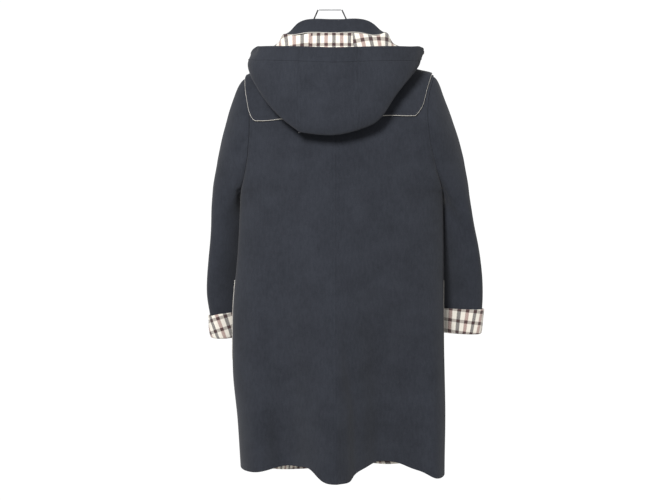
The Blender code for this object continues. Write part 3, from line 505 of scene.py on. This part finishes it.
def foldCloth(shell, strokes, uneven=0.0008, seed=0.0):  # strokes at the back are on the side that faces +y
    across, down = sewing["unevenAcross"], sewing["unevenDown"]
    shell.normal_update()
    moves = []
    for vert in shell.verts:
        x, y, z = vert.co
        height = uneven * noise.noise(Vector((x * across + seed, y * across, z * down)))
        for fold in strokes:
            turned = vert.normal.y if fold["side"] == "back" else -vert.normal.y
            height += strokeHeight(fold, x, z) * easing(turned, *sewing["facing"])
        moves.append(height)
    for vert, height in zip(shell.verts, moves):
        vert.co += vert.normal * height
    shell.normal_update()


def pullCloth(shell, pulls, depths=(-1, 1)):  # soft moves: place (x, z), move (x, z), reach; within these depths
    (low, high), soft = depths, sewing["softDepth"]
    for vert in shell.verts:
        x, y, z = vert.co
        for place, move, reach in pulls:
            share = math.exp(-(((x - place[0]) ** 2 + (z - place[1]) ** 2) / reach**2))
            share *= easing(y, low - soft, low + soft) * easing(-y, -high - soft, soft - high)
            vert.co += Vector((move[0], 0, move[1])) * share
    shell.normal_update()


def calm(shell, low, high, rounds=3):  # evens out the depth between two heights
    inner = [vert for vert in shell.verts if low < vert.co.z < high and not vert.is_boundary]
    for _ in range(rounds):
        bmesh.ops.smooth_vert(shell, verts=inner, factor=0.5, use_axis_y=True)


def liftNearby(vert, lifts):
    return sewing["liftSpread"] * sum(lifts[edge.other_vert(vert)] for edge in vert.link_edges) / len(vert.link_edges)


def liftOff(shell, under, gap, rounds=2, spreads=2):  # keeps a face clear of the pieces that it lies on
    trees = [laid[name] for name in under]
    for _ in range(rounds):
        lifts = {}
        for vert in shell.verts:
            need = 0.0
            for tree in trees:
                place, normal = tree.find_nearest(vert.co, sewing["liftSearch"])[:2]
                if place is not None:
                    need = max(need, gap - (vert.co - place).dot(normal))
            lifts[vert] = min(need, sewing["liftMost"])
        for _ in range(spreads):
            lifts = {vert: max(lifts[vert], liftNearby(vert, lifts)) for vert in shell.verts}
        for vert in shell.verts:
            vert.co += vert.normal * lifts[vert]
        shell.normal_update()


def nearPlaces(places):
    tree = KDTree(len(places))
    for number, place in enumerate(places):
        tree.insert(place, number)
    tree.balance()
    return tree


def edgePlaces(shell, steps):  # points along a face's own edge
    places = []
    for edge in shell.edges:
        if edge.is_boundary:
            places += [edge.verts[0].co.lerp(edge.verts[1].co, step / steps) for step in range(steps)]
    return places


def nearestAt(shell, place, facing):  # the vertex nearest to (x, z), of those that face back or front
    seen = [vert for vert in shell.verts if vert.normal.y * facing > 0.2]
    return min(seen, key=lambda vert: math.hypot(vert.co.x - place[0], vert.co.z - place[1]))


def mapCloth(shell, mapping, rim=()):  # the cut cloth's own places, and how far in from its edge and from a rim
    cloth = shell.loops.layers.uv.new("cloth")
    stitching = shell.loops.layers.uv.new("stitching")
    edge = nearPlaces(edgePlaces(shell, 2))
    opening = nearPlaces(rim)
    for vert in shell.verts:
        inward = edge.find(vert.co)[2], opening.find(vert.co)[2] if rim else 1.0
        for loop in vert.link_loops:
            loop[cloth].uv = mapping(vert.co)
            loop[stitching].uv = inward


# opens a panel out flat, in metres, upright at a place (x, z) on its inside
def laidFlat(shell, place, full, reach=0.025):
    piece = newPiece("draft", shell.copy(), [])
    bpy.context.view_layer.objects.active = piece
    piece.select_set(True)
    bpy.ops.object.mode_set(mode="EDIT")
    bpy.ops.mesh.select_all(action="SELECT")
    bpy.ops.uv.unwrap(method="ANGLE_BASED", margin=0)
    bpy.ops.object.mode_set(mode="OBJECT")
    mesh = piece.data
    spots = {loop.vertex_index: uv.uv.copy() for loop, uv in zip(mesh.loops, mesh.uv_layers.active.data)}
    flat, real = 0.0, 0.0
    for face in mesh.polygons:
        corners = [spots[number] for number in face.vertices]
        flat += sum(a.cross(b) for a, b in zip(corners, corners[1:] + corners[:1])) / 2
        real += face.area
    size = math.sqrt(real / abs(flat))
    start = nearestAt(shell, place, -1)
    dot, cross = 0.0, 0.0
    for vert in shell.verts:
        away = vert.co - start.co
        if away.length < reach:
            step = spots[vert.index] - spots[start.index]
            dot += away.x * step.x + away.z * step.y
            cross += away.x * step.y - away.z * step.x
    turn = math.atan2(cross, dot)
    cosine, sine = size * math.cos(turn), size * math.sin(turn)
    tree = nearPlaces([vert.co for vert in shell.verts])
    bpy.data.objects.remove(piece)

    def mapping(point):
        spot = spots[tree.find(point)[1]]
        return full * (spot.x * cosine + spot.y * sine), spot.y * cosine - spot.x * sine

    return mapping


def onCheck(shell, mapping, turn, crossing, facing=1):  # turns a map, and puts a red column on a row at (x, z)
    cosine, sine = math.cos(math.radians(turn)), math.sin(math.radians(turn))

    def turned(point):
        across, along = mapping(point)
        return across * cosine - along * sine, across * sine + along * cosine

    near = nearestAt(shell, crossing, facing).co
    offX, offZ = near.x - crossing[0], near.z - crossing[1]
    startAcross = turned(near)[0] - offX * cosine + offZ * sine
    startAlong = turned(near)[1] - offX * sine - offZ * cosine
    return lambda point: (
        turned(point)[0] - startAcross + check["columnPitch"] / 2,
        turned(point)[1] - startAlong + check["rowPitch"] / 2,
    )


def keepFace(name, shell):
    laid[name] = BVHTree.FromBMesh(shell)


def joinSeams(shells, reach=0.003):  # draws neighbouring edges together, halfway each, and returns the free ones
    borders = {name: edgePlaces(shell, 6) for name, shell in shells.items()}
    moves = []
    rims = {name: [] for name in shells}
    for name, shell in shells.items():
        tree = nearPlaces([place for other in borders if other != name for place in borders[other]])
        for vert in shell.verts:
            if vert.is_boundary:
                place, number, away = tree.find(vert.co)
                if away < reach:
                    moves.append((vert, vert.co.lerp(place, 0.5)))
                else:
                    rims[name].append(vert)
    for vert, place in moves:
        vert.co = place
    return rims


def edgePaths(edges):  # runs of joined edges, as ordered points
    left = list(edges)
    while left:
        path = list(left.pop().verts)
        growing = True
        while growing:
            growing = False
            for edge in left:
                for end, rest in ((path[-1], path[::-1]), (path[0], path)):
                    if end in edge.verts:
                        path = [edge.other_vert(end)] + rest
                        left.remove(edge)
                        growing = True
                        break
                if growing:
                    break
        yield path


# a rolled edge where the binding's solid lies, on a face that was pulled in the same way
def trimEdge(node, shell, radius, depth, pulls=(), reach=0.005):
    solid = bmesh.new()
    solid.from_mesh(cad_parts[node].data)
    for moves, depths in pulls:
        pullCloth(solid, moves, depths)
    tree = BVHTree.FromBMesh(solid)
    solid.free()
    curve = bpy.data.curves.new(node, "CURVE")
    curve.dimensions = "3D"
    curve.bevel_depth = radius
    curve.bevel_resolution = 2
    curve.use_fill_caps = True
    near = []
    for edge in shell.edges:
        if edge.is_boundary and tree.find_nearest((edge.verts[0].co + edge.verts[1].co) / 2, reach)[0] is not None:
            near.append(edge)
    for path in edgePaths(near):
        closed = path[0] is path[-1]
        spline = curve.splines.new("POLY")
        spline.use_cyclic_u = closed
        points = path[:-1] if closed else path
        spline.points.add(len(points) - 1)
        for point, vert in zip(spline.points, points):
            point.co = (*(vert.co - vert.normal * depth), 1)
    draft = bpy.data.objects.new("draft", curve)
    rolled = bmesh.new()
    rolled.from_mesh(bpy.data.meshes.new_from_object(draft))
    bpy.data.objects.remove(draft)
    bmesh.ops.recalc_face_normals(rolled, faces=rolled.faces)
    piece = newPiece(node + "_trim", rolled, [lightBinding])
    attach(piece, "root")
    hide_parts(node)


def sewPiece(node, shell, finishes, cut, area, wall, on=(), slot="navy_wool"):  # finishes: outside, inside
    piece = newPiece(node + "_cloth", shell, finishes)
    thick = piece.modifiers.new("wall", "SOLIDIFY")
    thick.thickness = wall
    thick.offset = -1
    thick.material_offset = 1
    soft = piece.modifiers.new("soft", "BEVEL")
    soft.limit_method = "ANGLE"
    soft.angle_limit = sewing["edgeAngle"]
    soft.width = sewing["edgeShare"] * wall
    soft.segments = 2
    soft.harden_normals = True
    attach(piece, "root")
    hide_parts(node)
    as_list(on)


def ovalRun(halfWidth, halfDepth, x, y, turn=0.0, flat=0.0, steps=60):  # the way round an oval to (x, y)
    cosine, sine = math.cos(turn), math.sin(turn)
    x, y = x * cosine + y * sine, y * cosine - x * sine
    whole = math.atan2(y / halfDepth, x / halfWidth)
    run, before = 0.0, (halfWidth, 0.0)
    for step in range(1, steps + 1):
        angle = whole * step / steps
        point = (halfWidth * math.cos(angle), halfDepth * math.sin(angle))
        dx, dy = point[0] - before[0], point[1] - before[1]
        run += max((1 - flat) * math.hypot(dx, dy), abs(dx * cosine - dy * sine) if flat else 0.0)
        before = point
    return math.copysign(run, whole)


def tubeMap(shell, flat=0.0, wide=1.0):  # the way round the tube's own oval, and the height
    count = len(shell.verts)
    midX = sum(vert.co.x for vert in shell.verts) / count
    midY = sum(vert.co.y for vert in shell.verts) / count
    xx = sum((vert.co.x - midX) ** 2 for vert in shell.verts) / count
    yy = sum((vert.co.y - midY) ** 2 for vert in shell.verts) / count
    xy = sum((vert.co.x - midX) * (vert.co.y - midY) for vert in shell.verts) / count
    turn = math.atan2(2 * xy, xx - yy) / 2
    spread = math.hypot((xx - yy) / 2, xy)
    halves = math.sqrt(xx + yy + 2 * spread), math.sqrt(xx + yy - 2 * spread)
    return lambda point: (wide * ovalRun(*halves, point.x - midX, point.y - midY, turn, flat), point.z)


body = dict(
    panels={  # node: the panel's cut, width and length, and its flat area
        "back_left": ((0.29, 0.98), 0.2225),
        "back_right": ((0.29, 0.98), 0.2345),
        "front_left": ((0.33, 1.00), 0.2600),
        "front_right": ((0.33, 1.00), 0.2609),
    },
    halfWidth=0.225,
    halfDepth=0.092,
    wall=0.003,
    levels=3,
    calm=(-0.49, -0.30),
    seamReach=0.007,
    hemDepths=(0.03, 1),
    hemPulls=[
        ((0.043, -0.990), (0.0, 0.0135), 0.022),
        ((-0.040, -0.995), (0.0, -0.0060), 0.018),
        ((-0.178, -0.975), (0.0, -0.0090), 0.026),
    ],
    neckPulls=[((-0.010, -0.032), (0.0, -0.006), 0.050)],
    shoulderPulls=[
        ((-0.222, -0.150), (-0.009, 0.011), 0.036),
        ((0.195, -0.150), (0.0045, 0.0065), 0.036),
    ],
    strokes=[
        stroke(0.015, -0.009, (-0.033, -0.62), (-0.040, -0.78), (-0.054, -0.86), (-0.058, -1.00), fade=(0.5, 0.0)),
        stroke(0.018, -0.005, (0.115, -0.835), (0.107, -0.965), fade=(0.6, 0.0)),
        stroke(0.022, -0.003, (0.147, -0.735), (0.188, -0.798)),
        stroke(0.026, -0.003, (-0.138, -0.69), (-0.165, -0.89)),
        stroke(0.040, 0.003, (0.03, -0.56), (0.045, -0.80), (0.04, -0.95)),
        stroke(0.022, -0.005, (0.10, -0.60), (0.112, -0.80), (0.105, -1.0), side="front", fade=(0.5, 0.0)),
        stroke(0.020, -0.006, (-0.12, -0.62), (-0.135, -0.80), (-0.125, -1.0), side="front", fade=(0.5, 0.0)),
        stroke(0.024, -0.004, (0.02, -0.66), (0.012, -0.85), (0.02, -1.0), side="front", fade=(0.6, 0.0)),
        stroke(0.018, -0.003, (0.17, -0.42), (0.13, -0.52), side="front"),
        stroke(0.018, -0.003, (-0.19, -0.42), (-0.15, -0.53), side="front"),
    ],
)


def bodyMap(point):
    return ovalRun(body["halfWidth"], body["halfDepth"], point.x - axis.x, point.y), point.z


panels = {}
sewn = dict(body["panels"])
for node in body["panels"]:
    shell = outerFace(node, fromAxis)
    calm(shell, *body["calm"])
    shell = rounded(shell, body["levels"])
    if node.startswith("back"):
        pullCloth(shell, body["hemPulls"], body["hemDepths"])
        pullCloth(shell, body["neckPulls"])
    foldCloth(shell, body["strokes"])
    panels[node] = shell

sleeve = dict(
    cut=(0.40, 0.64),
    area=0.150,
    levels=3,
    pulls=[((0.275, -0.500), (-0.0060, 0.0), 0.090), ((-0.325, -0.420), (0.0070, 0.0), 0.080)],
    strokes=[
        stroke(0.012, -0.004, (0.181, -0.285), (0.205, -0.338)),
        stroke(0.006, -0.003, (0.180, -0.398), (0.208, -0.404)),
        stroke(0.020, -0.004, (0.184, -0.47), (0.190, -0.55), (0.205, -0.62)),
        stroke(0.012, -0.005, (-0.209, -0.345), (-0.235, -0.40), (-0.265, -0.445), (-0.30, -0.52)),
        stroke(0.013, -0.004, (0.175, -0.40), (0.215, -0.43), side="front"),
        stroke(0.016, -0.003, (0.20, -0.50), (0.25, -0.52), side="front"),
        stroke(0.013, -0.004, (-0.20, -0.38), (-0.245, -0.42), side="front"),
        stroke(0.016, -0.003, (-0.24, -0.52), (-0.30, -0.50), side="front"),
    ],
)
cuff = dict(
    cut=(0.29, 0.066),
    area=0.0190,
    wall=0.003,
    levels=3,
    check={
        "left": (-16.5, (0.2430, -0.7050)),
        "right": (5.5, (-0.3008, -0.6889)),
    },
    flat=0.45,
    wide=1.15,
    pulls=[  # the sleeve's end goes with it
        ((0.252, -0.690), (0.0, -0.013), 0.045),
        ((0.200, -0.690), (0.0, -0.006), 0.040),
        ((0.284, -0.664), (-0.005, -0.009), 0.024),
    ],
    uneven=0.0005,
    seed=5.0,
)

for side in ("left", "right"):
    node = "sleeve_" + side
    sewn[node] = (sleeve["cut"], sleeve["area"])
    shell = rounded(outerFace(node, fromTube(node)), sleeve["levels"])
    pullCloth(shell, cuff["pulls"] + sleeve["pulls"])
    foldCloth(shell, sleeve["strokes"])
    panels[node] = shell
joinSeams(panels, body["seamReach"])
for node, shell in panels.items():
    pullCloth(shell, body["shoulderPulls"])
    mapCloth(shell, tubeMap(shell) if node.startswith("sleeve") else bodyMap)
    keepFace(node, shell)
    sewPiece(node, shell, [navyWool, checkedWool], *sewn[node], body["wall"])
print("body and sleeves made")

for side in ("left", "right"):
    node = "cuff_" + side
    shell = rounded(outerFace(node, fromTube(node)), cuff["levels"])
    pullCloth(shell, cuff["pulls"])
    foldCloth(shell, [], cuff["uneven"], cuff["seed"])
    mapCloth(shell, onCheck(shell, tubeMap(shell, cuff["flat"], cuff["wide"]), *cuff["check"][side]))
    sewPiece(node, shell, [checkedWool, navyWool], cuff["cut"], cuff["area"], cuff["wall"], slot="checked_wool")
print("cuffs made")


yoke = dict(
    pieces={  # node: cut, flat area, what it lies on, its binding
        "yoke_back": ((0.42, 0.21), 0.0735, ["back_left", "back_right"], "yoke_binding_back"),
        "yoke_front_left": ((0.15, 0.15), 0.0164, ["front_left"], "yoke_binding_left"),
        "yoke_front_right": ((0.15, 0.15), 0.0175, ["front_right"], "yoke_binding_right"),
    },
    wall=0.003,
    gap=0.0036,
    levels=3,
    binding=0.0011,
    bindingReach=0.007,
    pullDepths=(0.015, 1),
    pulls=[  # place, move and reach of a few soft shifts of its edge
        ((0.172, -0.190), (0.007, 0.0), 0.035),
        ((0.158, -0.238), (0.005, -0.003), 0.030),
        ((0.130, -0.250), (0.0, -0.003), 0.030),
        ((-0.187, -0.245), (0.003, 0.005), 0.030),
        ((-0.130, -0.252), (0.0, 0.006), 0.045),
    ],
    strokes=[
        stroke(0.020, 0.0012, (0.15, -0.12), (0.12, -0.24)),
        stroke(0.020, 0.0012, (-0.17, -0.13), (-0.15, -0.24)),
    ],
    uneven=0.0005,
    seed=7.0,
)

for node, (cut, area, under, binding) in yoke["pieces"].items():
    shell = rounded(outerFace(node, fromAxis), yoke["levels"])
    pulls = [(yoke["pulls"], yoke["pullDepths"]), (body["shoulderPulls"], (-1, 1))]
    for moves, depths in pulls:
        pullCloth(shell, moves, depths)
    foldCloth(shell, yoke["strokes"], yoke["uneven"], yoke["seed"])
    liftOff(shell, under, yoke["gap"])
    mapCloth(shell, bodyMap)
    trimEdge(binding, shell, yoke["binding"], yoke["wall"] / 2, pulls, yoke["bindingReach"])
    sewPiece(node, shell, [navyWool, checkedWool], cut, area, yoke["wall"], on=under)
print("yoke made")


hood = dict(
    pieces={  # node: cut, flat area, its check's fullness and turn, and where a red column meets a row
        "hood_left": ((0.22, 0.42), 0.0480, 1.25, 0.0, (0.0427, -0.0979)),
        "hood_centre": ((0.13, 0.44), 0.0440, 1.0, 0.0, (0.0097, -0.0979)),
        "hood_right": ((0.22, 0.42), 0.0520, 1.15, 12.0, (-0.0663, -0.0862)),
    },
    wall=0.003,
    levels=3,
    backDepths=(0.02, 1),
    pulls=[
        ((0.172, -0.108), (-0.014, 0.004), 0.016),
        ((-0.192, -0.113), (0.001, 0.006), 0.016),
        ((-0.085, -0.250), (-0.008, -0.010), 0.045),
    ],
    neckDepths=(-0.02, 0.055),
    earDepths=(-0.01, 0.056),
    ears=[  # where its sides rise beside the neck
        ((0.116, -0.090), (0.003, 0.014), 0.018),
        ((0.132, -0.096), (0.004, 0.015), 0.018),
        ((-0.144, -0.092), (-0.003, 0.010), 0.020),
        ((-0.168, -0.102), (-0.004, 0.020), 0.022),
        ((0.097, -0.076), (0.0, 0.008), 0.014),
        ((0.074, -0.074), (0.0, 0.006), 0.014),
        ((-0.117, -0.074), (0.0, 0.008), 0.014),
    ],
    strokes=[
        stroke(0.010, -0.003, (0.043, -0.215), (0.052, -0.180)),
        stroke(0.012, -0.003, (-0.008, -0.262), (0.000, -0.235)),
    ],
    uneven=0.0006,
    seed=11.0,
)

neckPulls = [  # the neck's sides, which the hood and its facing share
    ((0.0906, -0.0833), (0.009, 0.012), 0.017),
    ((-0.1136, -0.0833), (-0.008, 0.017), 0.018),
    ((0.094, -0.069), (0.002, 0.004), 0.016),
    ((-0.110, -0.068), (-0.002, 0.005), 0.018),
]

panels = {node: rounded(outerFace(node, fromPouch), hood["levels"]) for node in hood["pieces"]}
rims = joinSeams(panels)
for node, (cut, area, full, turn, crossing) in hood["pieces"].items():
    shell = panels[node]
    pullCloth(shell, hood["pulls"], hood["backDepths"])
    pullCloth(shell, neckPulls, hood["neckDepths"])
    pullCloth(shell, hood["ears"], hood["earDepths"])
    foldCloth(shell, hood["strokes"], hood["uneven"], hood["seed"])
    rim = [vert.co.copy() for vert in rims[node]]
    mapCloth(shell, onCheck(shell, laidFlat(shell, crossing, full), turn, crossing, -1), rim)
    sewPiece(node, shell, [navyWool, checkedWool], cut, area, hood["wall"])
print("hood made")


neck = dict(
    cut=(0.26, 0.085),
    area=0.0190,
    wall=0.002,
    levels=3,
    tape=0.0012,
    tapeReach=0.004,
    sideDepths=(-0.02, 0.08),
    backDepths=(0.0, 1),
    pulls=[
        ((-0.013, -0.030), (0.0, -0.0022), 0.026),
        ((0.0, -0.066), (0.0, -0.0045), 0.060),
        ((-0.090, -0.066), (0.0, -0.004), 0.030),
    ],
)
shell = rounded(outerFace("neck_facing", fromAxis), neck["levels"])
pulls = [(neckPulls, neck["sideDepths"]), (neck["pulls"], neck["backDepths"])]
for moves, depths in pulls:
    pullCloth(shell, moves, depths)
mapCloth(shell, bodyMap)
trimEdge("neck_tape", shell, neck["tape"], neck["wall"] / 2, pulls, neck["tapeReach"])
sewPiece("neck_facing", shell, [navyWool, navyWool], neck["cut"], neck["area"], neck["wall"])
print("neck made")


pocket = dict(
    cut=(0.16, 0.19),
    area=0.0240,
    wall=0.003,
    gap=0.0040,
    levels=3,
    binding=0.0015,
    uneven=0.0006,
    seed=13.0,
)
for side in ("left", "right"):
    node = "pocket_" + side
    shell = rounded(outerFace(node, fromAxis), pocket["levels"])
    foldCloth(shell, [], pocket["uneven"], pocket["seed"])
    liftOff(shell, ["front_" + side], pocket["gap"])
    mapCloth(shell, bodyMap)
    trimEdge("pocket_binding_" + side, shell, pocket["binding"], pocket["wall"] / 2)
    sewPiece(node, shell, [navyWool, checkedWool], pocket["cut"], pocket["area"], pocket["wall"])
print("pockets made")


patches = dict(cut=(0.038, 0.034), area=0.00120, wall=0.0016, levels=2)
for node in sorted(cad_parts):
    if node.startswith("patch_"):
        shell = rounded(outerFace(node, fromAxis), patches["levels"])
        mapCloth(shell, bodyMap)
        sewPiece(node, shell, [navyWool, navyWool], patches["cut"], patches["area"], patches["wall"])
print("patches made")


kept = {  # CAD solids that are shown as they are, by the start of their names
    "toggle_": horn,
    "loop_": navyCord,
    "tie_": navyCord,
    "hanger_arms": blackHanger,
    "hanger_leg": blackHanger,
    "hanger_bar": brightSteel,
}
for node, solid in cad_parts.items():
    for start, finish in kept.items():
        if node.startswith(start):
            solid.data.materials.clear()
            solid.data.materials.append(finish)
print("toggles, cords and hanger finished")


floorFace = bmesh.new()
bmesh.ops.create_circle(floorFace, cap_ends=True, segments=studio["floorSides"], radius=studio["floorRadius"])
bmesh.ops.translate(floorFace, verts=floorFace.verts, vec=(0, 0, studio["floorHeight"]))
newPiece("floor", floorFace, [paleFloor()])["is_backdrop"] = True

sizes = [[list(corner) for corner in box] for box in (cadBox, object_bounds())]
print("boxes", sizes)
